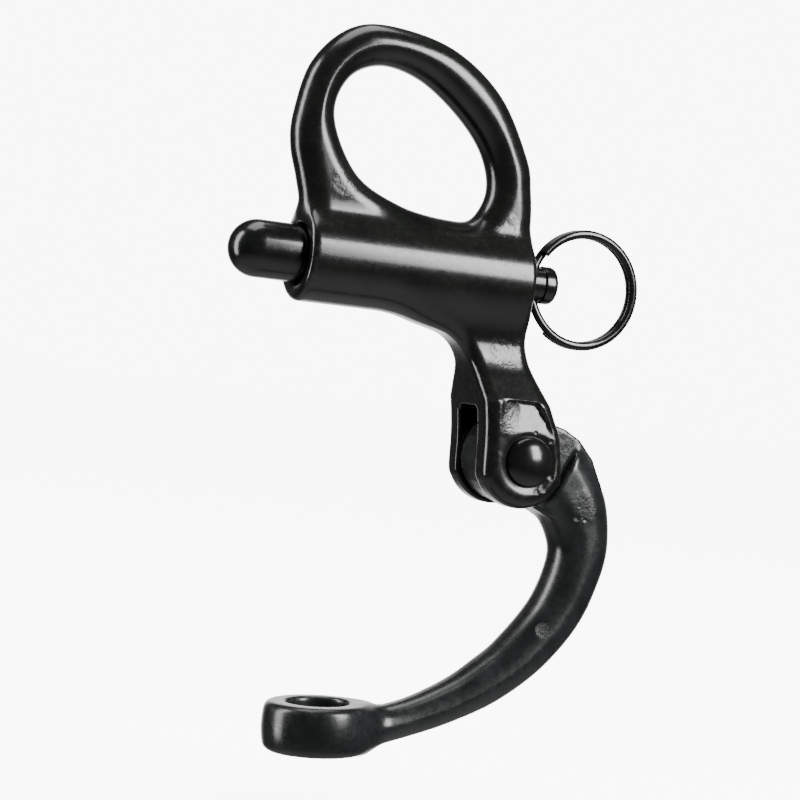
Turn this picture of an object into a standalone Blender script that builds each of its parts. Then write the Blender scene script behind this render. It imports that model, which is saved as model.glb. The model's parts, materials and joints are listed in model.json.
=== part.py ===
"""Snap shackle for boat rigging: a cast body with a fixed bail, a hinged gate arm, and a sprung plunger
with a pull ring. Run it in Blender 4.5. Metres, +Z up towards the bail.

Sizes are written in millimetres in the shackle's own layout, where X runs along the plunger from the
centre of the barrel's nose face, and the shackle lies in the XZ plane. BAIL_CROWN is the point of that
layout that becomes the world origin. The gate is modelled open.
"""

import math

import bmesh
import bpy
from mathutils import Matrix, Vector

MM = 0.001
BAIL_CROWN = Vector((10.0, 0.0, 26.4))

# Pivot of the gate
PIVOT = Vector((34.45, 0.0, -24.4))
OPEN_ANGLE = 90.6
GAP = 0.3

# Barrel and plunger
BARREL_LENGTH, BARREL_R = 33.0, 6.3
CHAMBER_DEPTH, CHAMBER_R, TAIL_BORE_R = 27.0, 4.1, 2.57
NOSE_R, NOSE_TIP, NOSE_BACK = 3.9, -9.6, 9.0
TAIL_R, TAIL_HEAD_R, TAIL_HEAD_START, TAIL_END = 2.37, 2.62, 36.7, 38.4
RING_HOLE_X, RING_HOLE_R = 35.0, 1.25

# Spring round the plunger's tail
SPRING_R, SPRING_WIRE_R, SPRING_TURNS = 3.2, 0.4, 7
SPRING_START, SPRING_END = NOSE_BACK + GAP, CHAMBER_DEPTH - GAP

# Clevis, neck and rivet
EAR_X, EAR_Z, EAR_R = 34.05, -24.8, 6.15
CLEVIS_HALF, SLOT_HALF, SLOT_TOP = 7.1, 3.1, -17.6
NECK_HALF, BAIL_HALF = 3.9, 3.2
RIVET_R, RIVET_HEAD_R, RIVET_HEAD_HIGH, RECESS_R, RECESS_DEEP = 2.5, 3.55, 1.9, 4.2, 0.7

# Gate arm
EYE_THICK, EYE_R, EYE_HOLE_R = 6.8, 7.5, 4.3
EYE_GAP, EYE_TILT = 0.5, 3.0
KNUCKLE_R, KNUCKLE_HALF, ARM_CLEARANCE_R = 6.1, 2.8, 7.1
ARM_LINE = [(41.2, -24.6, 4.7), (43.3, -27.0, 4.9), (45.4, -30.6, 4.6), (46.5, -36.0, 4.2), (45.6, -41.3, 4.0),
            (43.4, -46.2, 3.9), (39.7, -51.0, 3.6), (33.9, -55.8, 3.2), (27.5, -59.4, 2.65), (21.0, -61.7, 2.45),
            (14.0, -63.2, 2.5)]

# Pull ring: a split ring of two turns
RING_R, RING_WIRE_RADIAL, RING_WIRE_SIDE, RING_PITCH = 7.8, 0.62, 0.46, 1.0
RING_START, RING_CROSS = 146.0, 87.0
RING_STEPS, RING_SIDES = 72, 12
RING_CENTRE_X = RING_HOLE_X + RING_R

BLACK = (0.012, 0.013, 0.012, 1.0)


def world(x, z, y=0.0):
    """A point of the shackle's layout, in metres from the world origin."""
    return (Vector((x, y, z)) - BAIL_CROWN) * MM


def clear_scene():
    for obj in list(bpy.data.objects):
        bpy.data.objects.remove(obj, do_unlink=True)


def collection(name):
    made = bpy.data.collections.new(name)
    bpy.context.scene.collection.children.link(made)
    return made


def material(name, colour, metallic, roughness):
    made = bpy.data.materials.new(name)
    made.use_nodes = True
    shader = made.node_tree.nodes["Principled BSDF"]
    shader.inputs["Base Color"].default_value = colour
    shader.inputs["Metallic"].default_value = metallic
    shader.inputs["Roughness"].default_value = roughness
    return made


def place(obj, group, finish=None):
    for old in list(obj.users_collection):
        old.objects.unlink(obj)
    group.objects.link(obj)
    if finish:
        obj.data.materials.clear()
        obj.data.materials.append(finish)
    return obj


def as_cutter(obj):
    place(obj, CUTTERS)
    obj.hide_render = True
    obj.display_type = "WIRE"
    return obj


def cylinder(name, radius, length, centre, axis, segments=48):
    """A closed cylinder round the axis "X", "Y" or "Z"."""
    turn = {"X": Matrix.Rotation(math.pi / 2, 4, "Y"), "Y": Matrix.Rotation(math.pi / 2, 4, "X")}
    mesh = bpy.data.meshes.new(name)
    bm = bmesh.new()
    bmesh.ops.create_cone(bm, cap_ends=True, segments=segments, radius1=radius * MM, radius2=radius * MM,
                          depth=length * MM, matrix=turn.get(axis, Matrix()))
    bm.to_mesh(mesh)
    bm.free()
    obj = bpy.data.objects.new(name, mesh)
    obj.location = centre
    bpy.context.scene.collection.objects.link(obj)
    return obj


def box(name, low, high):
    """A closed box between two corners in metres."""
    mesh = bpy.data.meshes.new(name)
    bm = bmesh.new()
    size = high - low
    bmesh.ops.create_cube(bm, size=1.0, matrix=Matrix.Diagonal((*size, 1.0)))
    bm.to_mesh(mesh)
    bm.free()
    obj = bpy.data.objects.new(name, mesh)
    obj.location = (low + high) / 2
    bpy.context.scene.collection.objects.link(obj)
    return obj


def turned(name, profile, steps=48):
    """A solid turned about X from (x, radius) points, the first and last on the axis."""
    mesh = bpy.data.meshes.new(name)
    points = [(radius * MM, 0.0, -x * MM) for x, radius in profile]
    mesh.from_pydata(points, [(i, i + 1) for i in range(len(points) - 1)], [])
    obj = bpy.data.objects.new(name, mesh)
    bpy.context.scene.collection.objects.link(obj)
    screw = obj.modifiers.new("Turn", "SCREW")
    screw.steps = screw.render_steps = steps
    screw.use_merge_vertices = True
    screw.merge_threshold = 1e-5
    obj.rotation_euler = (0.0, -math.pi / 2, 0.0)
    return obj


def baked(obj, group, finish=None):
    """The object's evaluated shape as a plain mesh object in the same place."""
    bpy.context.view_layer.update()
    evaluated = obj.evaluated_get(bpy.context.evaluated_depsgraph_get())
    mesh = bpy.data.meshes.new_from_object(evaluated)
    bm = bmesh.new()
    bm.from_mesh(mesh)
    bmesh.ops.remove_doubles(bm, verts=bm.verts, dist=1e-6)
    bmesh.ops.recalc_face_normals(bm, faces=bm.faces)
    bm.to_mesh(mesh)
    bm.free()
    name = obj.name
    made = bpy.data.objects.new(name + "_mesh", mesh)
    made.matrix_world = obj.matrix_world.copy()
    bpy.data.objects.remove(obj, do_unlink=True)
    made.name = name
    group.objects.link(made)
    if finish:
        made.data.materials.clear()
        made.data.materials.append(finish)
    return made


def spline_2d(data, points, smooth):
    """A closed Bezier loop in a 2D curve, through (x, z) points."""
    spline = data.splines.new("BEZIER")
    spline.bezier_points.add(len(points) - 1)
    spline.use_cyclic_u = True
    for point, (x, z) in zip(spline.bezier_points, points):
        point.co = (x * MM, z * MM, 0.0)
        point.handle_left_type = point.handle_right_type = "AUTO" if smooth else "VECTOR"


def plate(name, loops, half, edge, resolution=6, smooth=True):
    """A flat plate in the XZ plane, its edges rounded with the radius edge, as a mesh in the layout's place.

    The outline runs clockwise and a hole anticlockwise, seen from -Y.
    """
    data = bpy.data.curves.new(name, "CURVE")
    data.dimensions = "2D"
    data.fill_mode = "BOTH"
    data.resolution_u = resolution
    data.extrude = (half - edge) * MM
    data.bevel_depth = edge * MM
    data.bevel_resolution = 2
    data.offset = -edge * MM
    for points in loops:
        spline_2d(data, points, smooth)
    obj = bpy.data.objects.new(name, data)
    bpy.context.scene.collection.objects.link(obj)
    obj.rotation_euler = (math.pi / 2, 0.0, 0.0)
    obj.location = world(0.0, 0.0)
    return baked(obj, CUTTERS)


def rounded(obj, width, segments=3):
    bevel = obj.modifiers.new("Round", "BEVEL")
    bevel.width = width * MM
    bevel.segments = segments
    bevel.limit_method = "ANGLE"
    bevel.angle_limit = math.radians(50)
    return obj


def boolean(obj, other, operation):
    made = obj.modifiers.new(other.name, "BOOLEAN")
    made.operation = operation
    made.solver = "EXACT"
    made.object = other


def body():
    outer = [(1.5, 1.0), (-0.1, 7.8), (-1.9, 12.0), (-3.1, 18.3), (-1.2, 26.0), (3.6, 30.8), (9.5, 32.2),
             (19.0, 30.4), (26.8, 25.0), (31.6, 17.0), (33.3, 8.0), (32.6, 1.0), (17.0, -1.0)]
    hole = [(3.0, 18.6), (4.4, 24.0), (9.0, 26.4), (15.0, 25.3), (21.0, 21.4), (25.0, 16.6), (26.2, 11.6),
            (24.6, 7.6), (20.6, 7.0), (13.6, 8.3), (7.0, 11.6)]
    bail = plate("bail", [outer, hole[::-1]], BAIL_HALF, 2.6)
    barrel = cylinder("barrel", BARREL_R, BARREL_LENGTH, world(BARREL_LENGTH / 2, 0.0), "X")
    rounded(barrel, 1.2)
    neck_outline = [(13.0, -2.0), (17.5, -6.2), (22.8, -8.4), (25.8, -11.6), (26.8, -15.0), (27.6, -20.0),
                    (36.0, -20.0), (34.6, -15.0), (33.6, -10.0), (32.8, -2.0)]
    neck = plate("neck", [neck_outline], NECK_HALF, 1.6)
    ears_outline = [(28.0, -13.4), (31.0, -12.2), (34.6, -13.4), (37.0, -17.2), (39.0, -20.8)]
    for step in range(1, 12):
        angle = math.radians(-15 * step)
        ears_outline.append((EAR_X + EAR_R * math.cos(angle), EAR_Z + EAR_R * math.sin(angle)))
    ears_outline += [(27.9, EAR_Z), (27.9, -22.0), (27.4, -17.0)]
    ears = plate("ears", [ears_outline], CLEVIS_HALF, 1.2, resolution=2)
    made = baked(barrel, PARTS, COATED)
    made.name = "body"
    for other in (bail, neck, ears):
        boolean(made, other, "UNION")
        as_cutter(other)
    cuts = [
        cylinder("chamber", CHAMBER_R, CHAMBER_DEPTH + 2.0, world(CHAMBER_DEPTH / 2 - 1.0, 0.0), "X"),
        cylinder("tail_bore", TAIL_BORE_R, 30.0, world(CHAMBER_DEPTH + 10.0, 0.0), "X", 32),
        box("slot", world(20.0, -40.0, -SLOT_HALF), world(45.0, SLOT_TOP, SLOT_HALF)),
        cylinder("rivet_bore", RIVET_R + 0.1, 40.0, world(PIVOT.x, PIVOT.z), "Y", 32),
    ]
    for side in (-1, 1):
        reach = side * (CLEVIS_HALF - RECESS_DEEP + 3.0)
        cuts.append(cylinder("recess", RECESS_R, 6.0, world(PIVOT.x, PIVOT.z, reach), "Y", 32))
    for cut in cuts:
        boolean(made, cut, "DIFFERENCE")
        as_cutter(cut)
    return made


def pivot_rivet():
    """A plain pin with a low domed head in each ear's recess."""
    seat = CLEVIS_HALF - RECESS_DEEP + 0.2
    head = [(seat + RIVET_HEAD_HIGH, 0.0)]
    for step in range(1, 7):
        angle = math.radians(15 * step)
        head.append((seat + RIVET_HEAD_HIGH * math.cos(angle), RIVET_HEAD_R * math.sin(angle)))
    profile = [(-x, radius) for x, radius in head] + [(-seat, RIVET_R), (seat, RIVET_R)]
    profile += list(reversed(head))
    made = turned("pivot_rivet", profile, 32)
    made.rotation_euler = (0.0, -math.pi / 2, math.pi / 2)
    made.location = world(PIVOT.x, PIVOT.z)
    return place(made, PARTS, GLOSSY)


def plunger():
    """The locking pin: a round nose, a thinner tail, and a domed head with a cross hole for the ring."""
    profile = [(NOSE_TIP, 0.0)]
    for step in range(1, 7):
        angle = math.radians(15 * step)
        profile.append((NOSE_TIP + NOSE_R * (1 - math.cos(angle)), NOSE_R * math.sin(angle)))
    profile += [(NOSE_BACK, NOSE_R), (NOSE_BACK, TAIL_R), (TAIL_HEAD_START, TAIL_R),
                (TAIL_HEAD_START + 0.2, TAIL_HEAD_R), (TAIL_END - 0.8, TAIL_HEAD_R), (TAIL_END - 0.2, 1.7),
                (TAIL_END, 0.0)]
    made = turned("plunger", profile, 40)
    made.location = world(0.0, 0.0)
    hole = as_cutter(cylinder("ring_hole", RING_HOLE_R, 12.0, world(RING_HOLE_X, 0.0), "Z", 24))
    made = baked(made, PARTS, GLOSSY)
    boolean(made, hole, "DIFFERENCE")
    return made


def plunger_spring():
    """A round wire wound along X, its ends filled."""
    data = bpy.data.curves.new("plunger_spring", "CURVE")
    data.dimensions = "3D"
    data.bevel_depth = SPRING_WIRE_R * MM
    data.bevel_resolution = 1
    data.use_fill_caps = True
    steps = 14 * SPRING_TURNS
    length = SPRING_END - SPRING_START - 2 * SPRING_WIRE_R
    spline = data.splines.new("POLY")
    spline.points.add(steps)
    for step, point in enumerate(spline.points):
        angle = 2 * math.pi * SPRING_TURNS * step / steps
        x = SPRING_START + SPRING_WIRE_R + length * step / steps
        point.co = (*world(x, SPRING_R * math.sin(angle), SPRING_R * math.cos(angle)), 1.0)
    made = bpy.data.objects.new("plunger_spring", data)
    data.materials.append(SPRING_STEEL)
    PARTS.objects.link(made)


def ring_points():
    """Two turns of wire that cross over from one side to the other inside the plunger's hole.

    Each point is (angle round the ring in radians, distance to the side in mm).
    """
    start, cross = math.radians(RING_START), math.radians(RING_CROSS)
    whole = 4 * math.pi - cross
    points = []
    for step in range(RING_STEPS + 1):
        travelled = whole * step / RING_STEPS
        shift = (travelled - (2 * math.pi - cross)) / cross
        shift = min(max(shift, 0.0), 1.0)
        points.append((start - travelled, RING_PITCH * (shift * shift * (3 - 2 * shift) - 0.5)))
    return points


def pull_ring():
    """A split ring: two turns of wire side by side. It passes once through the plunger's cross hole."""
    verts, faces = [], []
    for angle, side in ring_points():
        for corner in range(RING_SIDES):
            turn = 2 * math.pi * corner / RING_SIDES
            radius = RING_R + RING_WIRE_RADIAL * math.cos(turn)
            verts.append(world(RING_CENTRE_X + radius * math.cos(angle), radius * math.sin(angle),
                               side + RING_WIRE_SIDE * math.sin(turn)))
    for row in range(RING_STEPS):
        for i in range(RING_SIDES):
            a, b = row * RING_SIDES + i, row * RING_SIDES + (i + 1) % RING_SIDES
            faces.append((a, b, b + RING_SIDES, a + RING_SIDES))
    faces.append(tuple(range(RING_SIDES)))
    faces.append(tuple(range(RING_STEPS * RING_SIDES, (RING_STEPS + 1) * RING_SIDES)))
    mesh = bpy.data.meshes.new("pull_ring")
    mesh.from_pydata(verts, [], faces)
    made = bpy.data.objects.new("pull_ring", mesh)
    PARTS.objects.link(made)
    return baked(made, PARTS, RING_BLACK)


def arm_bar():
    """The bent bar of the gate, a round bar that thins towards the eye."""
    data = bpy.data.curves.new("arm_bar", "CURVE")
    data.dimensions = "3D"
    data.bevel_depth = MM
    data.bevel_resolution = 4
    data.resolution_u = 3
    data.use_fill_caps = True
    spline = data.splines.new("BEZIER")
    spline.bezier_points.add(len(ARM_LINE) - 1)
    for point, (x, z, radius) in zip(spline.bezier_points, ARM_LINE):
        point.co = world(x, z)
        point.radius = radius
        point.handle_left_type = point.handle_right_type = "AUTO"
    obj = bpy.data.objects.new("arm_bar", data)
    bpy.context.scene.collection.objects.link(obj)
    return baked(obj, CUTTERS)


def gate_arm():
    """The curved arm, its knuckle between the ears and its end eye."""
    opened = Matrix.Rotation(math.radians(-OPEN_ANGLE), 4, "Y")
    closed_eye = Vector((-EYE_GAP - EYE_THICK / 2, 0.0, 0.0))
    eye_centre = PIVOT + opened @ (closed_eye - PIVOT)
    half = EYE_THICK / 2
    leaning = Matrix.Rotation(math.radians(-OPEN_ANGLE - EYE_TILT), 4, "Y")
    eye = turned("eye", [(-half, 0.0), (-half, EYE_R - 1.1), (-half + 0.5, EYE_R - 0.4), (0.0, EYE_R),
                         (half - 0.5, EYE_R - 0.4), (half, EYE_R - 1.1), (half, 0.0)])
    eye.matrix_world = (Matrix.Translation(world(eye_centre.x, eye_centre.z)) @ leaning
                        @ Matrix.Rotation(-math.pi / 2, 4, "Y"))
    bar = arm_bar()
    clearance = as_cutter(cylinder("ear_clearance", ARM_CLEARANCE_R, 30.0, world(PIVOT.x, PIVOT.z), "Y"))
    boolean(bar, clearance, "DIFFERENCE")
    bar = baked(bar, CUTTERS)
    tang_outline = []
    for step in range(15):
        angle = math.radians(80 + 15 * step)
        tang_outline.append((PIVOT.x + KNUCKLE_R * math.cos(angle), PIVOT.z + KNUCKLE_R * math.sin(angle)))
    tang_outline += [(40.6, -32.0), (46.0, -29.0), (46.0, -24.2), (43.6, -21.3), (40.0, -19.0)]
    tang = plate("tang", [tang_outline[::-1]], KNUCKLE_HALF, 0.3, smooth=False)
    made = baked(eye, PARTS, SATIN)
    made.name = "gate_arm"
    for other in (bar, tang):
        boolean(made, other, "UNION")
        as_cutter(other)
    hole = cylinder("eye_hole", EYE_HOLE_R, 30.0, world(eye_centre.x, eye_centre.z), "Z")
    hole.rotation_euler = (0.0, math.radians(90 - OPEN_ANGLE - EYE_TILT), 0.0)
    pin_hole = cylinder("pin_hole", RIVET_R + GAP, 30.0, world(PIVOT.x, PIVOT.z), "Y", 32)
    for cut in (hole, pin_hole):
        boolean(made, cut, "DIFFERENCE")
        as_cutter(cut)
    return made


clear_scene()
PARTS = collection("snap_shackle")
CUTTERS = collection("cutters")
COATED = material("coated_steel", BLACK, 0.3, 0.28)
GLOSSY = material("glossy_pins", BLACK, 0.3, 0.14)
SATIN = material("satin_arm", (0.016, 0.017, 0.018, 1.0), 0.3, 0.38)
RING_BLACK = material("ring_wire", BLACK, 0.3, 0.18)
SPRING_STEEL = material("spring_steel", (0.45, 0.45, 0.44, 1.0), 1.0, 0.3)

body()
pivot_rivet()
plunger()
plunger_spring()
pull_ring()
gate_arm()
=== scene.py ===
"""The looks of the snap shackle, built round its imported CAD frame.

The cast body and the gate arm are meshed from signed distance fields, so that their parts run into each
other in fillets as a casting's do. The turned pins are lathed, and the wires are swept. Shapes are written
in millimetres in part.py's layout: X runs along the plunger from the centre of the barrel's nose face,
and -Y faces the viewer. Axes, fits and clearances are part.py's. The bail and the neck are outlined afresh.
"""

import json
import math

import bpy
import numpy as np
from mathutils import Matrix, Vector


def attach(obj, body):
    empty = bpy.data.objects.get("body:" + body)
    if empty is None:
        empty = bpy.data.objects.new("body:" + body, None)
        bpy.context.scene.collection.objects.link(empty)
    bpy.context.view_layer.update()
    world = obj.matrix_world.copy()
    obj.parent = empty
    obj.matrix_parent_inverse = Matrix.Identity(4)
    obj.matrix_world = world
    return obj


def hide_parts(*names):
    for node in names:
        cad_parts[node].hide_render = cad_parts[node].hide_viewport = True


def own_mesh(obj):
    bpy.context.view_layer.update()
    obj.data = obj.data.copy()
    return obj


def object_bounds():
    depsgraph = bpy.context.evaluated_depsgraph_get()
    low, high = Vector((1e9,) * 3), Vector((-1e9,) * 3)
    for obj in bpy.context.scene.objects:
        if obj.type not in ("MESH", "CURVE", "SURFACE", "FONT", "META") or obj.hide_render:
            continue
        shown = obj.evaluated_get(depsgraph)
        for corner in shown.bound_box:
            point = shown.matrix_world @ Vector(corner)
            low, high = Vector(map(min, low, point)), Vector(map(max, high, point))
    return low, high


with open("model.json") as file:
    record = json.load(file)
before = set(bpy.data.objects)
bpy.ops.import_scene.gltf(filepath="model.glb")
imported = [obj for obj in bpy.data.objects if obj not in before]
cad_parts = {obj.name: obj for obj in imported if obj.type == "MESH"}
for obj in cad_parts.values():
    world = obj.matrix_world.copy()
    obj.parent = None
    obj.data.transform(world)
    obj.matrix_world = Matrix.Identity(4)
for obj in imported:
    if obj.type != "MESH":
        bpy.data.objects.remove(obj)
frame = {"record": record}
CAD_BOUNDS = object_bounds()

MM = 0.001
UM = 1e-6
JOINTS = {joint["name"]: joint for joint in frame["record"]["behaviour"]["joints"]}
PIVOT_WORLD = np.array(JOINTS["gate_swing"]["pos_m"]) / MM
PIVOT = np.array([34.45, 0.0, -24.4])
ORIGIN = PIVOT - PIVOT_WORLD
OPEN_ANGLE = math.radians(JOINTS["gate_swing"]["range_deg"][1])
VOXEL = 0.3

# Body
BARREL_LENGTH, BARREL_R, BARREL_EDGE = 33.0, 6.3, 0.9
CHAMBER_DEPTH, CHAMBER_R, TAIL_BORE_R = 27.0, 4.1, 2.57
BAIL_HALF, NECK_HALF = 3.2, 3.4
EAR_X, EAR_Z, EAR_R = 34.05, -24.8, 6.15
CLEVIS_HALF, SLOT_HALF, SLOT_TOP = 7.1, 3.1, -17.6
RIVET_R, RIVET_HEAD_R, RIVET_HEAD_HIGH, RECESS_R, RECESS_DEEP = 2.5, 3.55, 1.9, 4.2, 0.7

# Gate arm
GAP, EYE_THICK, EYE_R, EYE_HOLE_R = 0.3, 6.8, 7.5, 4.3
EYE_GAP, EYE_TILT = 0.5, math.radians(3.0)
KNUCKLE_R, KNUCKLE_HALF, ARM_CLEARANCE_R = 6.1, 2.8, 7.1

# Plunger, spring and ring
NOSE_R, NOSE_TIP, NOSE_BACK = 3.9, -9.6, 9.0
TAIL_R, TAIL_HEAD_R, TAIL_HEAD_START, TAIL_END = 2.37, 2.62, 36.1, 38.4
SPRING_R, SPRING_WIRE_R, SPRING_TURNS = 3.2, 0.4, 7
RING_HOLE_X = 35.0
RING_R, RING_WIRE_RADIAL, RING_WIRE_SIDE, RING_PITCH = 7.8, 0.62, 0.46, 1.0
RING_START, RING_CROSS = 146.0, 87.0

# Steps of curves
LATHE_STEPS, RING_STEPS, SPRING_STEPS, ARC_STEP = 96, 360, 60, 15


# ---------------------------------------------------------------- distance fields

def smooth_loop(points, per_span=14):
    """A closed Catmull-Rom curve through (x, z) points."""
    p = np.array(points, float)
    a, b, c, d = np.roll(p, 1, 0), p, np.roll(p, -1, 0), np.roll(p, -2, 0)
    t = np.linspace(0.0, 1.0, per_span, endpoint=False)[:, None, None]
    square, cube = 2 * a - 5 * b + 4 * c - d, 3 * b - a - 3 * c + d
    curve = 0.5 * (2 * b + (c - a) * t + square * t**2 + cube * t**3)
    return curve.transpose(1, 0, 2).reshape(-1, 2)


class Outline:
    """The signed distance to a closed loop in the XZ plane, negative inside, read from a fine grid."""

    def __init__(self, loop, low, high, step=0.15):
        self.low, self.step = np.array(low, float), step
        size = np.ceil((np.array(high) - self.low) / step).astype(int) + 2
        xs = self.low[0] + step * np.arange(size[0])
        zs = self.low[1] + step * np.arange(size[1])
        grid = np.stack(np.meshgrid(xs, zs, indexing="ij"), -1).reshape(-1, 2)
        a, b = loop, np.roll(loop, -1, 0)
        best = np.full(len(grid), 1e9)
        inside = np.zeros(len(grid), bool)
        for start, end in zip(a, b):
            along = end - start
            rel = grid - start
            t = np.clip(rel @ along / (along @ along), 0.0, 1.0)
            best = np.minimum(best, ((rel - t[:, None] * along) ** 2).sum(1))
            crosses = (grid[:, 1] < start[1]) != (grid[:, 1] < end[1])
            if along[1] != 0.0:
                inside ^= crosses & (rel[:, 0] < along[0] * rel[:, 1] / along[1])
        distance = np.sqrt(best)
        self.values = np.where(inside, -distance, distance).reshape(size)

    def __call__(self, p):
        u = (p[:, [0, 2]] - self.low) / self.step
        u = np.clip(u, 0.0, np.array(self.values.shape) - 1.001)
        i = u.astype(int)
        f = u - i
        v = self.values
        low = v[i[:, 0], i[:, 1]] * (1 - f[:, 0]) + v[i[:, 0] + 1, i[:, 1]] * f[:, 0]
        high = v[i[:, 0], i[:, 1] + 1] * (1 - f[:, 0]) + v[i[:, 0] + 1, i[:, 1] + 1] * f[:, 0]
        return low * (1 - f[:, 1]) + high * f[:, 1]


def corner(a, b, radius):
    """The inside of both a and b, with the edge where they meet rounded off."""
    u, v = a + radius, b + radius
    return np.hypot(np.maximum(u, 0), np.maximum(v, 0)) + np.minimum(np.maximum(u, v), 0) - radius


def plate(field, y, half, radius):
    """An outline's field made into a plate across Y, its edges rounded."""
    return corner(field, np.abs(y) - half, radius)


def join(a, b, fillet):
    """The inside of a or b, with a fillet of about this size where they meet."""
    h = np.maximum(fillet - np.abs(a - b), 0.0) / fillet
    return np.minimum(a, b) - h * h * fillet / 4


def cut(a, b, edge):
    """a without b, with the edge of the cut softened."""
    return -join(-a, b, edge)


def ramp(value, start, end):
    """0 at start, 1 at end, and smooth between them."""
    t = np.clip((value - start) / (end - start), 0.0, 1.0)
    return t * t * (3 - 2 * t)


# ---------------------------------------------------------------- meshing

def sampled(field, low, count, step):
    """The field on a grid, worked out one slice at a time."""
    axes = [low[i] + step * np.arange(count[i]) for i in range(3)]
    yy, zz = np.meshgrid(axes[1], axes[2], indexing="ij")
    values = np.empty(count)
    for i, x in enumerate(axes[0]):
        points = np.stack([np.full(yy.size, x), yy.ravel(), zz.ravel()], 1)
        values[i] = field(points).reshape(yy.shape)
    return values


def crossings(values):
    """For each grid cell, the sum of the places where the surface crosses its edges, and their number."""
    cells = tuple(n - 1 for n in values.shape)
    total = np.zeros((*cells, 3))
    hits = np.zeros(cells)
    for axis in range(3):
        others = [i for i in range(3) if i != axis]
        for da in (0, 1):
            for db in (0, 1):
                first = [slice(0, cells[i]) for i in range(3)]
                first[others[0]] = slice(da, da + cells[others[0]])
                first[others[1]] = slice(db, db + cells[others[1]])
                second = list(first)
                second[axis] = slice(1, 1 + cells[axis])
                a, b = values[tuple(first)], values[tuple(second)]
                crossed = (a < 0) != (b < 0)
                offset = np.zeros((*cells, 3))
                offset[..., axis] = np.where(crossed, a / np.where(crossed, a - b, 1.0), 0.0)
                offset[..., others[0]] = da
                offset[..., others[1]] = db
                total += offset * crossed[..., None]
                hits += crossed
    return total, hits


def quads_of(inside, index):
    """One quad for each grid edge that the surface crosses, joining the four cells round it."""
    count = inside.shape
    faces = []
    for axis in range(3):
        b, c = (axis + 1) % 3, (axis + 2) % 3
        first = [slice(0, n) for n in count]
        first[axis] = slice(0, count[axis] - 1)
        second = [slice(0, n) for n in count]
        second[axis] = slice(1, count[axis])
        edges = np.argwhere(inside[tuple(first)] != inside[tuple(second)])
        for across in (b, c):
            edges = edges[(edges[:, across] > 0) & (edges[:, across] < count[across] - 1)]
        corners = []
        for db, dc in ((1, 1), (0, 1), (0, 0), (1, 0)):
            at = edges.copy()
            at[:, b] -= db
            at[:, c] -= dc
            corners.append(index[tuple(at.T)])
        quads = np.stack(corners, 1)
        solid_first = inside[tuple(edges.T)]
        quads[~solid_first] = quads[~solid_first][:, ::-1]
        faces.append(quads)
    return np.concatenate(faces)


def net(field, low, high, step, pulls=3):
    """Surface nets: one vertex in each grid cell that the surface crosses, then pulled on to the surface."""
    low = np.array(low, float)
    count = np.ceil((np.array(high) - low) / step).astype(int) + 1
    values = sampled(field, low, count, step)
    total, hits = crossings(values)
    used = hits > 0
    index = np.full(used.shape, -1)
    index[used] = np.arange(used.sum())
    points = low + step * (np.argwhere(used) + total[used] / hits[used][:, None])
    for _ in range(pulls):
        points = points - slope_of(field, points) * np.clip(field(points), -step, step)[:, None]
    return points, quads_of(values < 0, index)


def slope_of(field, points, reach=0.04):
    """The outward direction of the field at each point."""
    slope = np.empty_like(points)
    for axis in range(3):
        shift = np.zeros(3)
        shift[axis] = reach
        slope[:, axis] = field(points + shift) - field(points - shift)
    return slope / np.maximum(np.linalg.norm(slope, axis=1), 1e-9)[:, None]


def sharpness(field, points, reach=0.35):
    """How convex the surface is at each point: 0 where it's flat, up to 1 on a small outside radius."""
    bend = -6 * field(points)
    for axis in range(3):
        shift = np.zeros(3)
        shift[axis] = reach
        bend += field(points + shift) + field(points - shift)
    return np.clip(bend / reach / reach, -1.0, 1.0)


def new_object(name, points, faces, finish):
    """A smooth-shaded mesh object from layout points."""
    mesh = bpy.data.meshes.new(name)
    world = (np.asarray(points) - ORIGIN) * MM
    mesh.from_pydata(world.tolist(), [], [[int(i) for i in face] for face in faces])
    mesh.shade_smooth()
    mesh.materials.append(finish)
    obj = bpy.data.objects.new(name, mesh)
    bpy.context.scene.collection.objects.link(obj)
    return obj


def attribute(obj, name, values):
    layer = obj.data.attributes.new(name, "FLOAT", "POINT")
    layer.data.foreach_set("value", np.asarray(values, np.float32))


PATCH_CORE = 0.6  # the part of a patch's radius that is fully rough


def meshed(name, field, low, high, finish, patches):
    """The meshed field, marked where it's sharp and where the casting is rough: (x, y, z, radius) patches."""
    points, faces = net(field, low, high, VOXEL)
    obj = new_object(name, points, faces, finish)
    attribute(obj, "sharp", sharpness(field, points))
    rough = np.zeros(len(points))
    for *centre, radius in patches:
        gap = np.linalg.norm(points - np.array(centre), axis=1)
        rough = np.maximum(rough, 1 - ramp(gap, PATCH_CORE * radius, radius))
    attribute(obj, "as_cast", rough)
    return obj


def lathe(name, profile, finish, axis="X", centre=(0.0, 0.0, 0.0), steps=LATHE_STEPS):
    """A turned solid from (along, radius) points, the first and last on the axis."""
    profile = np.array(profile, float)
    angles = np.linspace(0.0, 2 * math.pi, steps, endpoint=False)
    ring = profile[1:-1]
    along = np.repeat(ring[:, :1], steps, 1)
    side, rise = ring[:, 1:] * np.cos(angles), ring[:, 1:] * np.sin(angles)
    order = (along, side, rise) if axis == "X" else (side, along, rise)
    points = np.stack(order, -1).reshape(-1, 3)
    ends = np.zeros((2, 3))
    ends[:, 0 if axis == "X" else 1] = profile[[0, -1], 0]
    points = np.concatenate([points, ends]) + np.array(centre)
    first, last = len(points) - 2, len(points) - 1
    faces = []
    for row in range(len(ring) - 1):
        for i in range(steps):
            j = (i + 1) % steps
            a, b = row * steps, (row + 1) * steps
            faces.append((a + i, a + j, b + j, b + i))
    tail = (len(ring) - 1) * steps
    faces += [(first, (i + 1) % steps, i) for i in range(steps)]
    faces += [(last, tail + i, tail + (i + 1) % steps) for i in range(steps)]
    if axis == "X":
        faces = [face[::-1] for face in faces]
    return new_object(name, points, faces, finish)


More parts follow.
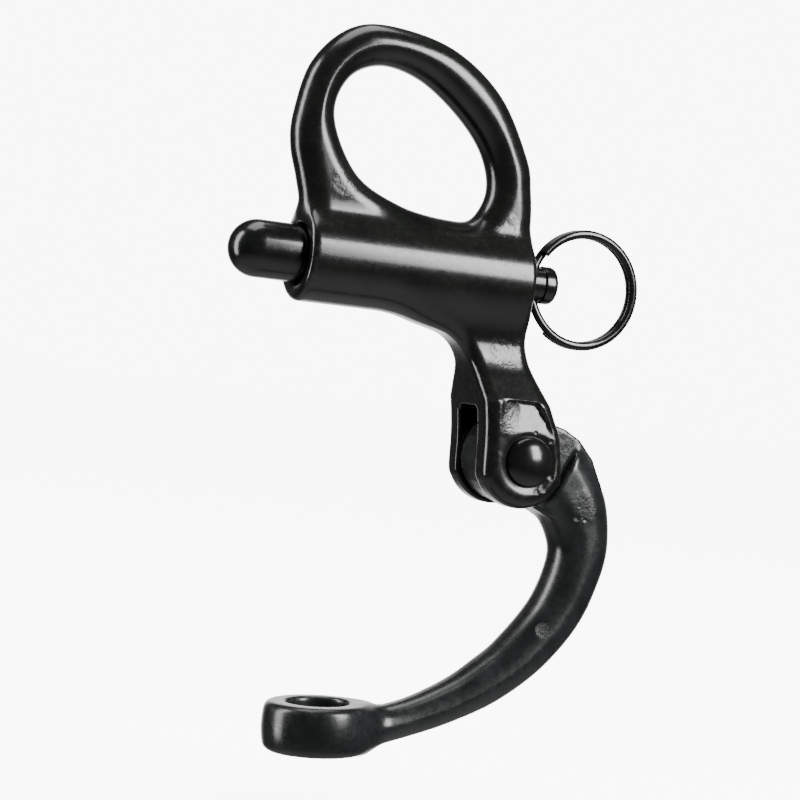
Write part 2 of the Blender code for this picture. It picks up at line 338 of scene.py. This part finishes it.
def rounded_profile(corners, steps=6):
    """A profile from (along, radius, rounding) corners, each rounded by a short arc."""
    made = []
    for i, (x, r, rounding) in enumerate(corners):
        here = np.array((x, r), float)
        if rounding == 0 or i in (0, len(corners) - 1):
            made.append(here)
            continue
        before, after = np.array(corners[i - 1][:2]) - here, np.array(corners[i + 1][:2]) - here
        reach = min(rounding, np.linalg.norm(before) / 2, np.linalg.norm(after) / 2)
        start = here + before / np.linalg.norm(before) * reach
        end = here + after / np.linalg.norm(after) * reach
        for t in np.linspace(0.0, 1.0, steps + 1):
            made.append((1 - t) ** 2 * start + 2 * t * (1 - t) * here + t * t * end)
    return made


def sweep(name, path, section, finish, normal=(0.0, 1.0, 0.0)):
    """A wire along a path: section holds (across, along normal) points, and the ends are closed flat."""
    path, section = np.array(path, float), np.array(section, float)
    heading = np.gradient(path, axis=0)
    heading /= np.linalg.norm(heading, axis=1)[:, None]
    side = np.cross(heading, np.array(normal))
    side /= np.linalg.norm(side, axis=1)[:, None]
    up = np.cross(side, heading)
    points = path[:, None] + section[:, :1] * side[:, None] + section[:, 1:] * up[:, None]
    count, around = len(path), len(section)
    faces = []
    for row in range(count - 1):
        for i in range(around):
            j = (i + 1) % around
            a, b = row * around, (row + 1) * around
            faces.append((a + i, b + i, b + j, a + j))
    faces.append(tuple(range(around)))
    faces.append(tuple(reversed(range((count - 1) * around, count * around))))
    return new_object(name, points.reshape(-1, 3), faces, finish)


# ---------------------------------------------------------------- materials

def socket(tree, value, target):
    """Links an output to the target, or sets the target to a constant."""
    if hasattr(value, "is_output"):
        tree.links.new(value, target)
    else:
        target.default_value = value


def noise(tree, coords, size_mm, detail=2.0, rough=0.5):
    node = tree.nodes.new("ShaderNodeTexNoise")
    node.inputs["Scale"].default_value = 1.0 / (size_mm * MM)
    node.inputs["Detail"].default_value = detail
    node.inputs["Roughness"].default_value = rough
    tree.links.new(coords, node.inputs["Vector"])
    return node.outputs["Fac"]


def remap(tree, value, low, high, to_low, to_high):
    node = tree.nodes.new("ShaderNodeMapRange")
    node.clamp = True
    tree.links.new(value, node.inputs["Value"])
    for name, number in zip(("From Min", "From Max", "To Min", "To Max"), (low, high, to_low, to_high)):
        node.inputs[name].default_value = number
    return node.outputs["Result"]


def maths(tree, operation, a, b=0.0):
    node = tree.nodes.new("ShaderNodeMath")
    node.operation = operation
    socket(tree, a, node.inputs[0])
    socket(tree, b, node.inputs[1])
    return node.outputs[0]


def mix(tree, factor, a, b):
    node = tree.nodes.new("ShaderNodeMix")
    node.data_type = "RGBA"
    socket(tree, factor, node.inputs["Factor"])
    socket(tree, a, node.inputs["A"])
    socket(tree, b, node.inputs["B"])
    return node.outputs["Result"]


def bump(tree, height, depth_um, below=None):
    node = tree.nodes.new("ShaderNodeBump")
    node.inputs["Strength"].default_value = 1.0
    node.inputs["Distance"].default_value = depth_um * UM
    tree.links.new(height, node.inputs["Height"])
    if below is not None:
        tree.links.new(below, node.inputs["Normal"])
    return node.outputs["Normal"]


# Sizes of the coating's patterns, the metal under it, and the depths of its bumps
PATCH_MM, MOTTLE_MM, FINE_MM, LUMP_MM = 5.0, 0.9, 0.16, 0.7
BARE_METAL, BARE_METALLIC = (0.28, 0.275, 0.26, 1.0), 0.8
COATING_IOR, LUMP_UM, PIT_UM = 1.62, 60.0, 250.0


def named(tree, name):
    node = tree.nodes.new("ShaderNodeAttribute")
    node.attribute_name = name
    return node.outputs["Fac"]


def coated(name, dark, pale, gloss, peel_um, grain_um, wear, pits=()):
    """A black coating: slow changes of tone and gloss, orange peel, cast grain, and edges worn to metal."""
    made = bpy.data.materials.new(name)
    made.use_nodes = True
    tree = made.node_tree
    shader = tree.nodes["Principled BSDF"]
    coords = tree.nodes.new("ShaderNodeTexCoord").outputs["Object"]
    patch = noise(tree, coords, PATCH_MM, 3.0)
    mottle = noise(tree, coords, MOTTLE_MM, 4.0, 0.6)
    fine = noise(tree, coords, FINE_MM, 3.0, 0.6)
    cloud = remap(tree, patch, 0.35, 0.65, 0.0, 1.0)
    tone = maths(tree, "MULTIPLY", cloud, remap(tree, mottle, 0.3, 0.7, 0.3, 1.0))
    colour = mix(tree, tone, dark, pale)
    edge = remap(tree, named(tree, "sharp"), 0.45, 0.9, 0.0, 1.0)
    rubbed = maths(tree, "MULTIPLY", edge, remap(tree, mottle, 0.5, 0.68, 0.0, wear))
    colour = mix(tree, rubbed, colour, BARE_METAL)
    tree.links.new(colour, shader.inputs["Base Color"])
    tree.links.new(maths(tree, "MULTIPLY", rubbed, BARE_METALLIC), shader.inputs["Metallic"])
    rough = remap(tree, mottle, 0.25, 0.75, gloss[0], gloss[1])
    rough = maths(tree, "ADD", rough, remap(tree, fine, 0.45, 0.75, 0.0, 0.07))
    tree.links.new(rough, shader.inputs["Roughness"])
    shader.inputs["IOR"].default_value = COATING_IOR
    lie = bump(tree, mottle, peel_um)
    lie = bump(tree, fine, grain_um, lie)
    lumps = maths(tree, "MULTIPLY", named(tree, "as_cast"), noise(tree, coords, LUMP_MM, 3.0, 0.6))
    lie = bump(tree, lumps, LUMP_UM, lie)
    for x, y, z, radius in pits:
        gap = tree.nodes.new("ShaderNodeVectorMath")
        gap.operation = "DISTANCE"
        tree.links.new(coords, gap.inputs[0])
        gap.inputs[1].default_value = (np.array([x, y, z]) - ORIGIN) * MM
        jag = maths(tree, "MULTIPLY", fine, -0.5 * radius * MM)
        ragged = maths(tree, "ADD", gap.outputs["Value"], jag)
        hollow = remap(tree, ragged, 0.1 * radius * MM, radius * MM, 0.0, 1.0)
        lie = bump(tree, hollow, PIT_UM * radius, lie)
    tree.links.new(lie, shader.inputs["Normal"])
    return made


def drawn_steel(name):
    """Bare spring wire, with the fine grain of drawing."""
    made = bpy.data.materials.new(name)
    made.use_nodes = True
    tree = made.node_tree
    shader = tree.nodes["Principled BSDF"]
    coords = tree.nodes.new("ShaderNodeTexCoord").outputs["Object"]
    fine = noise(tree, coords, 0.12, 3.0)
    steel = mix(tree, fine, (0.42, 0.42, 0.4, 1.0), (0.6, 0.6, 0.58, 1.0))
    tree.links.new(steel, shader.inputs["Base Color"])
    shader.inputs["Metallic"].default_value = 1.0
    tree.links.new(remap(tree, fine, 0.3, 0.7, 0.22, 0.36), shader.inputs["Roughness"])
    tree.links.new(bump(tree, fine, 1.5), shader.inputs["Normal"])
    return made


# Pits and chips: (x, y, z, radius)
ARM_PITS = [(45.6, -3.9, -28.8, 0.3), (44.0, -4.2, -31.5, 0.45), (45.2, -4.2, -31.7, 0.3),
            (41.0, -3.6, -47.6, 0.9)]
BODY_CHIPS = [(37.9, -7.1, -26.2, 0.4), (36.9, -7.1, -27.8, 0.5), (35.9, -7.1, -28.3, 0.4),
              (34.9, -7.1, -20.3, 0.3), (37.3, -7.1, -21.3, 0.35), (31.4, -3.0, 5.4, 0.4),
              (30.8, -3.0, 6.0, 0.35)]

BODY_BLACK = coated("body_coating", (0.006, 0.0072, 0.006, 1), (0.013, 0.015, 0.0125, 1), (0.17, 0.25),
                    2.5, 0.4, 0.05, BODY_CHIPS)
ARM_BLACK = coated("arm_coating", (0.01, 0.0115, 0.0122, 1), (0.026, 0.029, 0.03, 1), (0.22, 0.32),
                   4.0, 1.2, 0.05, ARM_PITS)
PIN_BLACK = coated("pin_coating", (0.005, 0.0055, 0.0053, 1), (0.01, 0.0112, 0.0108, 1), (0.16, 0.22),
                   1.2, 0.3, 0.3)
RING_BLACK = coated("ring_coating", (0.006, 0.006, 0.0054, 1), (0.015, 0.015, 0.013, 1), (0.12, 0.2),
                    1.5, 0.5, 0.0)
SPRING_STEEL = drawn_steel("spring_steel")


# ---------------------------------------------------------------- body

BAIL_OUTER = [(0.2, 1.0), (0.1, 4.0), (-0.35, 7.0), (-1.25, 10.2), (-2.5, 14.3), (-2.6, 18.6), (-0.9, 25.6),
              (3.6, 30.6), (9.5, 32.0), (19.0, 30.3), (26.8, 25.0), (31.8, 17.0), (33.0, 12.4), (33.5, 8.0),
              (33.3, 3.0), (33.0, 0.5), (17.0, -1.0)]
BAIL_HOLE = [(3.0, 18.6), (4.4, 24.0), (9.0, 26.4), (15.0, 25.3), (21.0, 21.4), (25.2, 16.8), (26.7, 11.8),
             (24.6, 7.6), (20.6, 7.0), (13.6, 8.3), (7.0, 11.6)]
NECK_LEFT = [(13.0, -2.0), (17.5, -6.2), (22.8, -8.4), (25.7, -11.4), (26.8, -15.0), (27.5, -18.6),
             (27.9, -22.2)]
NECK_RIGHT = [(39.2, -21.0), (38.0, -18.3), (36.7, -15.6), (35.4, -12.9), (34.5, -10.4), (33.8, -7.0),
              (33.3, -3.5), (32.0, -1.5), (22.0, -1.0)]
FLARE_TOP, FLARE_BEND, FLARE_SLOPE = -8.6, 4.0, 0.62
POCKET = [(29.6, -16.3), (34.6, -16.3), (35.6, -17.5), (38.2, -21.5), (38.2, -25.0), (33.0, -25.0),
          (29.6, -23.4)]
POCKET_TOP, POCKET_TALL, POCKET_DEEP, POCKET_LEFT, POCKET_WIDE = -16.3, 4.8, 0.8, 28.8, 3.6
DISH_SPREAD = 2.6

# Fillets and roundings
BARREL_FILLET, NECK_EDGE, NECK_FILLET, SLOT_ROUND, SLOT_EDGE = 2.0, 1.8, 3.4, 0.9, 0.35
CHAMBER_EDGE, TAIL_BORE_START, TAIL_BORE_EDGE = 0.9, 20.0, 0.5
MILLED_EDGE, RIVET_PLAY, RIVET_HOLE_EDGE = 0.15, 0.1, 0.1


def neck_loop():
    """The outline of the neck and the ears: down the left, round the ears' ends, and up the right."""
    around = [math.radians(ARC_STEP * step - 180) for step in range(1, 12)]
    ear = [(EAR_X + EAR_R * math.cos(a), EAR_Z + EAR_R * math.sin(a)) for a in around]
    return NECK_LEFT + ear + NECK_RIGHT


bail_outer = Outline(smooth_loop(BAIL_OUTER), (-8, -8), (40, 38))
bail_hole = Outline(smooth_loop(BAIL_HOLE), (-8, -8), (40, 38))
neck_side = Outline(smooth_loop(neck_loop(), 8), (5, -38), (50, 5))
pocket_side = Outline(np.array(POCKET), (15, -38), (50, 0))


def milled(made, x, y, z):
    """The body with the shallow pocket above each rivet head, and the dish round it."""
    lean = np.clip((x - POCKET_LEFT) / POCKET_WIDE, 0.0, 1.0)
    fade = np.clip(1 - (POCKET_TOP - z) / POCKET_TALL, 0.0, 1.0)
    pocket_floor = CLEVIS_HALF - POCKET_DEEP * lean * fade
    points = np.stack([x, y, z], 1)
    made = cut(made, np.maximum(pocket_side(points), pocket_floor - np.abs(y)), MILLED_EDGE)
    from_pivot = np.hypot(x - PIVOT[0], z - PIVOT[2])
    spread = from_pivot - RECESS_R + DISH_SPREAD * (CLEVIS_HALF - np.abs(y))
    dish = spread / math.hypot(1.0, DISH_SPREAD)
    made = cut(made, np.maximum(dish, CLEVIS_HALF - RECESS_DEEP - np.abs(y)), MILLED_EDGE)
    return cut(made, from_pivot - RIVET_R - RIVET_PLAY, RIVET_HOLE_EDGE)


def body_field(p):
    """Bail, barrel, and a neck that widens into the ears; then the slot, the chamber and the milled faces."""
    x, y, z = p.T
    ring = np.maximum(bail_outer(p), -bail_hole(p))
    made = plate(ring, y, BAIL_HALF, BAIL_HALF)
    from_axis = np.hypot(y, z)
    half = BARREL_LENGTH / 2
    barrel = corner(from_axis - BARREL_R, np.abs(x - half) - half, BARREL_EDGE)
    made = join(made, barrel, BARREL_FILLET)
    bent = np.clip(FLARE_TOP - z, 0.0, FLARE_BEND)
    rise = bent * bent / (2 * FLARE_BEND) + np.clip(FLARE_TOP - FLARE_BEND - z, 0.0, None)
    half_width = np.minimum(NECK_HALF + FLARE_SLOPE * rise, CLEVIS_HALF)
    made = join(made, plate(neck_side(p), y, half_width, NECK_EDGE), NECK_FILLET)
    made = cut(made, corner(np.abs(y) - SLOT_HALF, z - SLOT_TOP, SLOT_ROUND), SLOT_EDGE)
    made = cut(made, np.maximum(from_axis - CHAMBER_R, x - CHAMBER_DEPTH), CHAMBER_EDGE)
    made = cut(made, np.maximum(from_axis - TAIL_BORE_R, TAIL_BORE_START - x), TAIL_BORE_EDGE)
    return milled(made, x, y, z)


ROUGH_BODY = [(31.0, -4.0, -9.6, 3.2), (30.5, -6.8, -18.8, 2.9), (4.5, -3.0, 10.0, 2.6),
              (28.5, -3.2, 6.4, 3.0)]
body = meshed("cast_body", body_field, (-5, -8, -32), (42, 8, 34), BODY_BLACK, ROUGH_BODY)
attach(body, "shackle_body")
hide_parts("body")


# ---------------------------------------------------------------- gate arm

ARM_SIDE = [(39.5, -20.4), (43.6, -20.9), (46.3, -23.5), (49.6, -28.8), (50.75, -35.6), (49.6, -41.6),
            (47.1, -47.4), (42.4, -53.3), (36.5, -58.0), (30.3, -61.2), (24.0, -63.6), (17.0, -65.6),
            (11.0, -65.8), (11.0, -60.8), (17.5, -60.1), (23.0, -58.6), (28.9, -55.6), (32.9, -52.6),
            (36.2, -49.6), (40.6, -43.7), (42.5, -38.0), (42.0, -34.8), (39.6, -31.4), (36.0, -28.0)]
TANG_END = [(40.6, -32.0), (46.5, -30.5), (47.9, -27.0), (46.3, -23.4), (43.9, -20.8), (41.5, -19.5),
            (38.0, -18.6)]
SHOULDER = [(43.3, -22.4), (40.9, -27.0)]
SHOULDER_BOTTOM, SHOULDER_EDGE = -33.0, 0.7
ARM_HALF, ARM_TAPER, TAPER_FROM, TAPER_TO, ARM_FLAT = 4.3, 1.2, 40.0, 18.0, 0.3
TANG_EDGE, TANG_FILLET, ARM_BORE_EDGE = 0.4, 0.6, 0.2
EYE_CROWN, EYE_EDGE, EYE_FILLET, EYE_SEAT_EDGE, EYE_HOLE_EDGE = 0.45, 1.0, 3.0, 0.3, 0.5


def tang_loop():
    """The outline of the arm's end between the ears: round the pivot, then out to the shoulder."""
    around = [math.radians(80 + ARC_STEP * step) for step in range(15)]
    arc = [(PIVOT[0] + KNUCKLE_R * math.cos(a), PIVOT[2] + KNUCKLE_R * math.sin(a)) for a in around]
    return np.array(arc + TANG_END)


arm_side = Outline(smooth_loop(ARM_SIDE), (0, -72), (56, -14))
tang_side = Outline(tang_loop(), (20, -40), (56, -12))
OPENED = np.array(Matrix.Rotation(-OPEN_ANGLE, 3, "Y"))
EYE_CENTRE = PIVOT + OPENED @ (np.array([-EYE_GAP - EYE_THICK / 2, 0.0, 0.0]) - PIVOT)
EYE_AXIS = np.array(Matrix.Rotation(-OPEN_ANGLE - EYE_TILT, 3, "Y")) @ np.array([1.0, 0.0, 0.0])


def with_eye(made, p):
    """The arm with its eye: a thick washer, slightly crowned, with a flat seat for the barrel."""
    rel = p - EYE_CENTRE
    along = rel @ EYE_AXIS
    across = np.sqrt(np.maximum((rel * rel).sum(1) - along * along, 1e-9))
    crown = EYE_R - EYE_CROWN * (along / EYE_THICK * 2) ** 2
    made = join(made, corner(across - crown, np.abs(along) - EYE_THICK / 2, EYE_EDGE), EYE_FILLET)
    made = cut(made, np.maximum(across - EYE_R, EYE_THICK / 2 - along), EYE_SEAT_EDGE)
    return cut(made, across - EYE_HOLE_R, EYE_HOLE_EDGE)


def arm_field(p):
    """The curved arm, cut back round the ears to a shoulder, with the tang between them and the eye."""
    x, y, z = p.T
    deep = ARM_HALF - ARM_TAPER * ramp(x, TAPER_FROM, TAPER_TO)
    made = plate(arm_side(p), y, deep, deep - ARM_FLAT)
    from_pivot = np.hypot(x - PIVOT[0], z - PIVOT[2])
    (x0, z0), (x1, z1) = SHOULDER
    length = math.hypot(x1 - x0, z1 - z0)
    shoulder = ((x - x0) * (z1 - z0) - (z - z0) * (x1 - x0)) / length
    above = np.maximum(-shoulder, SHOULDER_BOTTOM - z)
    made = cut(made, np.minimum(from_pivot - ARM_CLEARANCE_R, above), SHOULDER_EDGE)
    made = join(made, plate(tang_side(p), y, KNUCKLE_HALF, TANG_EDGE), TANG_FILLET)
    made = with_eye(made, p)
    return cut(made, from_pivot - RIVET_R - GAP, ARM_BORE_EDGE)


ROUGH_ARM = [(41.6, -3.0, -22.0, 3.0), (45.0, -4.2, -30.0, 3.0)]
arm = meshed("cast_gate_arm", arm_field, (2, -9, -69), (53, 9, -17), ARM_BLACK, ROUGH_ARM)
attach(arm, "gate")
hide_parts("gate_arm")


# ---------------------------------------------------------------- turned pins

# Steps and roundings of the profiles, and how far the rivet's heads stand off their recesses
HEAD_STEP, HEAD_ROUND, END_ROUND, END_R, SHOULDER_ROUND, SHANK_ROUND = 0.12, 0.5, 0.8, 1.5, 0.2, 0.1
RIVET_LIFT = 0.2


def dome(start, height, radius, count=14):
    """(along, radius) points of a round end whose tip is at start, going from it along X by height."""
    angles = np.linspace(0.0, math.pi / 2, count)
    return [(start + height * (1 - math.cos(a)), radius * math.sin(a)) for a in angles]


def plunger():
    """The locking pin: a round nose, a shoulder for the spring, a thin tail and its small head."""
    profile = dome(NOSE_TIP, NOSE_R, NOSE_R)
    shank = [(NOSE_BACK, NOSE_R, SHOULDER_ROUND), (NOSE_BACK, TAIL_R, SHANK_ROUND),
             (TAIL_HEAD_START, TAIL_R, SHANK_ROUND), (TAIL_HEAD_START + HEAD_STEP, TAIL_HEAD_R, SHANK_ROUND),
             (TAIL_END - 0.6, TAIL_HEAD_R, HEAD_ROUND), (TAIL_END, END_R, END_ROUND), (TAIL_END, 0.0, 0)]
    profile += [tuple(p) for p in rounded_profile([(0.0, NOSE_R, 0)] + shank)]
    made = lathe("locking_plunger", profile, PIN_BLACK)
    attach(made, "locking_plunger")
    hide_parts("plunger")


def rivet():
    """The pivot, with a domed head on each side."""
    seat = CLEVIS_HALF - RECESS_DEEP + RIVET_LIFT
    head = dome(seat + RIVET_HEAD_HIGH, -RIVET_HEAD_HIGH, RIVET_HEAD_R, 16)
    profile = [(-x, r) for x, r in head] + [(-seat, RIVET_R), (seat, RIVET_R)] + head[::-1]
    made = lathe("pivot_rivet_domed", profile, PIN_BLACK, "Y", tuple(PIVOT))
    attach(made, "shackle_body")
    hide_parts("pivot_rivet")


def oval(across, along, count=20):
    """The section of a wire."""
    angles = np.linspace(0.0, 2 * math.pi, count, endpoint=False)
    return np.stack([across * np.cos(angles), along * np.sin(angles)], 1)


def split_ring():
    """Two turns that lie side by side, and cross over where the wire passes through the plunger."""
    start, cross = math.radians(RING_START), math.radians(RING_CROSS)
    whole = 4 * math.pi - cross
    travelled = np.linspace(0.0, whole, RING_STEPS + 1)
    side = ramp(travelled, 2 * math.pi - cross, 2 * math.pi) - 0.5
    angle = start - travelled
    centre = RING_HOLE_X + RING_R
    path = np.stack([centre + RING_R * np.cos(angle), RING_PITCH * side, RING_R * np.sin(angle)], 1)
    made = sweep("split_ring", path, oval(RING_WIRE_RADIAL, RING_WIRE_SIDE), RING_BLACK)
    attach(made, "ring")
    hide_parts("pull_ring")


def spring():
    """The coil between the plunger's shoulder and the chamber's end, carried by the body."""
    start, end = NOSE_BACK + GAP, CHAMBER_DEPTH - GAP
    turn = np.linspace(0.0, 1.0, SPRING_STEPS * SPRING_TURNS + 1)
    angle = 2 * math.pi * SPRING_TURNS * turn
    x = start + SPRING_WIRE_R + (end - start - 2 * SPRING_WIRE_R) * turn
    path = np.stack([x, SPRING_R * np.cos(angle), SPRING_R * np.sin(angle)], 1)
    section = oval(SPRING_WIRE_R, SPRING_WIRE_R, 12)
    made = sweep("coil_spring", path, section, SPRING_STEEL, (1.0, 0.0, 0.0))
    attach(made, "shackle_body")
    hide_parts("plunger_spring")
    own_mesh(made)


plunger()
rivet()
split_ring()
spring()


# ---------------------------------------------------------------- floor, light and camera

def place(obj, matrix):
    bpy.context.scene.collection.objects.link(obj)
    obj.matrix_world = matrix
    return obj


CENTRE = (np.array([20.6, 0.0, -17.5]) - ORIGIN) * MM
AZIMUTH, ELEVATION, ROLL = math.radians(-23.0), math.radians(0.7), math.radians(6.5)
CAMERA_AT, LENS = (-122.2, -328.6, -13.6), 118.1


def camera():
    """The main camera, rolled clockwise. It returns its axes: right, up, and back from the view."""
    back = Vector((math.sin(AZIMUTH) * math.cos(ELEVATION), -math.cos(AZIMUTH) * math.cos(ELEVATION),
                   math.sin(ELEVATION)))
    right = Vector((math.cos(AZIMUTH), math.sin(AZIMUTH), 0.0))
    up = back.cross(right)
    turned_right = math.cos(ROLL) * right + math.sin(ROLL) * up
    turned_up = back.cross(turned_right)
    basis = Matrix((turned_right, turned_up, back)).transposed().to_4x4()
    position = (Vector(CAMERA_AT) - Vector(ORIGIN)) * MM
    data = bpy.data.cameras.new("camera")
    data.lens = LENS
    data.clip_start = 0.01
    made = place(bpy.data.objects.new("camera", data), Matrix.Translation(position) @ basis)
    bpy.context.scene.camera = made
    return basis.to_3x3()


VIEW = camera()


LIGHT_DISTANCE = 0.7


def softbox(name, direction, width, height, power):
    """An area light in a direction given as (right, up, towards the camera) of the main view."""
    away = (VIEW @ Vector(direction)).normalized()
    data = bpy.data.lights.new(name, "AREA")
    data.shape = "RECTANGLE"
    data.size, data.size_y = width, height
    data.energy = power
    rotation = away.to_track_quat("Z", "Y").to_matrix().to_4x4()
    at = Matrix.Translation(Vector(CENTRE) + away * LIGHT_DISTANCE)
    place(bpy.data.objects.new(name, data), at @ rotation)


softbox("key", (0.79, 0.30, 0.52), 0.24, 0.42, 7.0)
softbox("left", (-0.93, 0.3, 0.1), 0.2, 0.9, 6.0)
softbox("top", (0.0, 0.95, -0.1), 0.6, 0.4, 3.0)

# Strengths of the room, and how near a direction is to the wall's or the table's where each fades in
WHITE, DARK, GLOW, TABLE_GLOW = 9.0, 0.06, 3.0, 0.5
WALL_FADE, TABLE_FADE = (0.82, 0.97), (0.35, 0.8)
FLOOR_DROP, FLOOR_R, PAPER_TONE, SUN_ANGLE = 0.012, 4.0, 0.88, 70


def dot(tree, vector, direction):
    node = tree.nodes.new("ShaderNodeVectorMath")
    node.operation = "DOT_PRODUCT"
    tree.links.new(vector, node.inputs[0])
    node.inputs[1].default_value = direction
    return node.outputs["Value"]


def backdrop():
    """White to the camera. The steel reflects a light wall behind it, a light table, and a dark room."""
    world = bpy.data.worlds.new("studio")
    bpy.context.scene.world = world
    world.use_nodes = True
    tree = world.node_tree
    shade = tree.nodes["Background"]
    ray = tree.nodes.new("ShaderNodeTexCoord").outputs["Generated"]
    wall = remap(tree, dot(tree, ray, VIEW @ Vector((0.0, 0.0, -1.0))), *WALL_FADE, DARK, GLOW)
    table = remap(tree, dot(tree, ray, (0.0, 0.0, -1.0)), *TABLE_FADE, 0.0, TABLE_GLOW)
    seen = tree.nodes.new("ShaderNodeLightPath").outputs["Is Camera Ray"]
    reflected = maths(tree, "MAXIMUM", wall, table)
    strength = maths(tree, "MAXIMUM", reflected, maths(tree, "MULTIPLY", seen, WHITE))
    tree.links.new(strength, shade.inputs["Strength"])
    shade.inputs["Color"].default_value = (1.0, 1.0, 1.0, 1.0)


def floor():
    """A pale floor with a light of its own: as white as the backdrop, yet it takes a soft shadow."""
    low = CAD_BOUNDS[0][2] - FLOOR_DROP
    bpy.ops.mesh.primitive_circle_add(vertices=96, radius=FLOOR_R, fill_type="NGON", location=(0.0, 0.0, low))
    made = bpy.context.object
    made.name = "floor"
    paper = bpy.data.materials.new("paper")
    paper.use_nodes = True
    tree = paper.node_tree
    coords = tree.nodes.new("ShaderNodeTexCoord").outputs["Object"]
    fibre = noise(tree, coords, 1.5, 4.0)
    shader = tree.nodes["Principled BSDF"]
    tone = mix(tree, fibre, (0.86, 0.86, 0.86, 1.0), (0.9, 0.9, 0.9, 1.0))
    tree.links.new(tone, shader.inputs["Base Color"])
    shader.inputs["Roughness"].default_value = 0.9
    made.data.materials.append(paper)
    made.visible_glossy = made.visible_diffuse = False
    lit = bpy.data.collections.new("lit_by_floor_light")
    lit.objects.link(made)
    data = bpy.data.lights.new("floor_light", "SUN")
    data.energy = WHITE * math.pi / PAPER_TONE
    data.angle = math.radians(SUN_ANGLE)
    lamp = place(bpy.data.objects.new("floor_light", data), Matrix.Identity(4))
    lamp.light_linking.receiver_collection = lit


backdrop()
floor()
